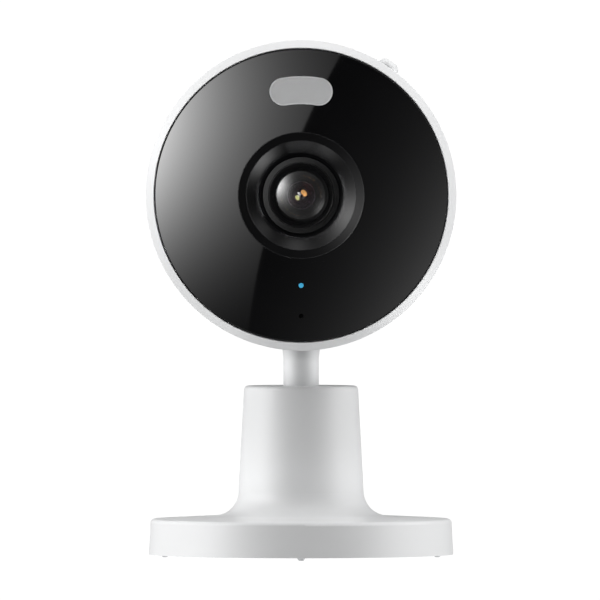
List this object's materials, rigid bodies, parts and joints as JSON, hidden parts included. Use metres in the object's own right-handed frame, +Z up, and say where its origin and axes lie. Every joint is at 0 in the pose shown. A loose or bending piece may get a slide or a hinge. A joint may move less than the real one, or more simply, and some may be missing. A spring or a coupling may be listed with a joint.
{
  "type": "security camera",
  "caption": "Indoor security camera: round head with a glossy black face and central lens, on a short stem that pans and tilts on a flared round pedestal.",
  "frame": {"origin": "centre of the camera's footprint, on the table", "axes": "+Z up along the stem, the lens looks along -Y, +X is on the right of somebody who faces the lens"},
  "size_m": [0.068, 0.0668, 0.1136],
  "materials": {
    "white_shell": "satin white moulded plastic",
    "white_ring": "satin white moulded plastic",
    "white_button": "satin white moulded plastic",
    "stem_plastic": "satin white moulded plastic",
    "bottom_plastic": "fine matt white plastic",
    "foot_rubber": "soft pale grey rubber",
    "black_face": "polished black sheet",
    "bezel_plastic": "smooth black plastic",
    "barrel_black": "black anodised",
    "lens_glass": "coated optical glass",
    "diffuser": "frosted light grey plastic",
    "status_light": "clear plastic lit from behind",
    "black_rubber": "soft black rubber",
    "adhesive": "black foam tape",
    "acetal": "natural acetal",
    "zinc_steel": "zinc plated",
    "black_steel": "black oxide",
    "spring_steel": "bright spring steel",
    "ballast_iron": "plain",
    "brass": "turned",
    "circuit_board": "green solder mask",
    "chip_black": "black moulding",
    "sensor_glass": "dark sensor under cover glass",
    "lamp_lens": "clear lamp lens",
    "lamp_yellow": "yellow lamp phosphor",
    "heat_sink_metal": "extruded",
    "connector_plastic": "ivory plastic",
    "ribbon_film": "white film",
    "coil_copper": "enamelled copper winding",
    "cone_paper": "treated paper",
    "red_filter": "infrared cut coating",
    "clear_filter": "clear"
  },
  "bodies": {
    "base": {"base_shell": "white_shell", "base_plate": "bottom_plastic", "base_screws": "black_steel", "tripod_insert": "brass", "ballast_weight": "ballast_iron", "foot_pad": "foot_rubber", "pan_bush": "acetal"},
    "stem": {"stem_tube": "stem_plastic", "retaining_washer": "zinc_steel", "disc_spring": "spring_steel", "tie_screw": "zinc_steel", "hinge_neck": "stem_plastic", "hinge_washers": "acetal"},
    "head": {"hinge_brackets": "zinc_steel", "bracket_screws": "zinc_steel", "hinge_bolt": "zinc_steel", "rear_housing": "white_shell", "front_ring": "white_ring", "housing_screws": "black_steel", "face_adhesive": "adhesive", "face_cover": "black_face", "light_window": "diffuser", "light_baffle": "barrel_black", "lens_bezel": "bezel_plastic", "status_light_pipe": "status_light", "mic_boot": "black_rubber", "lens_barrel": "barrel_black", "lens_retainer": "barrel_black", "front_lens": "lens_glass", "lens_spacers": "barrel_black", "second_lens": "lens_glass", "lens_mount": "chip_black", "filter_coils": "coil_copper", "image_sensor": "sensor_glass", "front_board": "circuit_board", "infrared_leds": "lamp_lens", "white_led": "lamp_yellow", "status_led": "status_light", "microphone": "chip_black", "main_board": "circuit_board", "board_screws": "black_steel", "main_chip": "chip_black", "shield_can": "zinc_steel", "heat_sink": "heat_sink_metal", "card_socket": "zinc_steel", "wifi_antenna": "circuit_board", "ribbon_connectors": "connector_plastic", "ribbon_cable": "ribbon_film", "power_board": "circuit_board", "usb_socket": "zinc_steel", "speaker_gasket": "black_rubber", "speaker_frame": "zinc_steel", "speaker_cone": "cone_paper", "tact_switch": "chip_black"},
    "button": {"side_button": "white_button", "switch_plunger": "connector_plastic"},
    "filter_carriage": {"filter_carriage": "chip_black", "day_filter": "red_filter", "night_filter": "clear_filter", "drive_magnet": "zinc_steel"}
  },
  "joints": [
    {"name": "pan", "type": "hinge", "parent": "base", "child": "stem", "pos_m": [0, 0, 0.03], "axis": [0, 0, 1], "continuous": true},
    {"name": "tilt", "type": "hinge", "parent": "stem", "child": "head", "pos_m": [0, 0, 0.054], "axis": [1, 0, 0], "range_deg": [-45, 25]},
    {"name": "button_press", "type": "slide", "parent": "head", "child": "button", "axis": [-0.5635, 0, -0.8261], "range_m": [0, 0.0005], "stiffness_N_per_m": 300},
    {"name": "filter_slide", "type": "slide", "parent": "head", "child": "filter_carriage", "axis": [1, 0, 0], "range_m": [0, 0.007]}
  ]
}
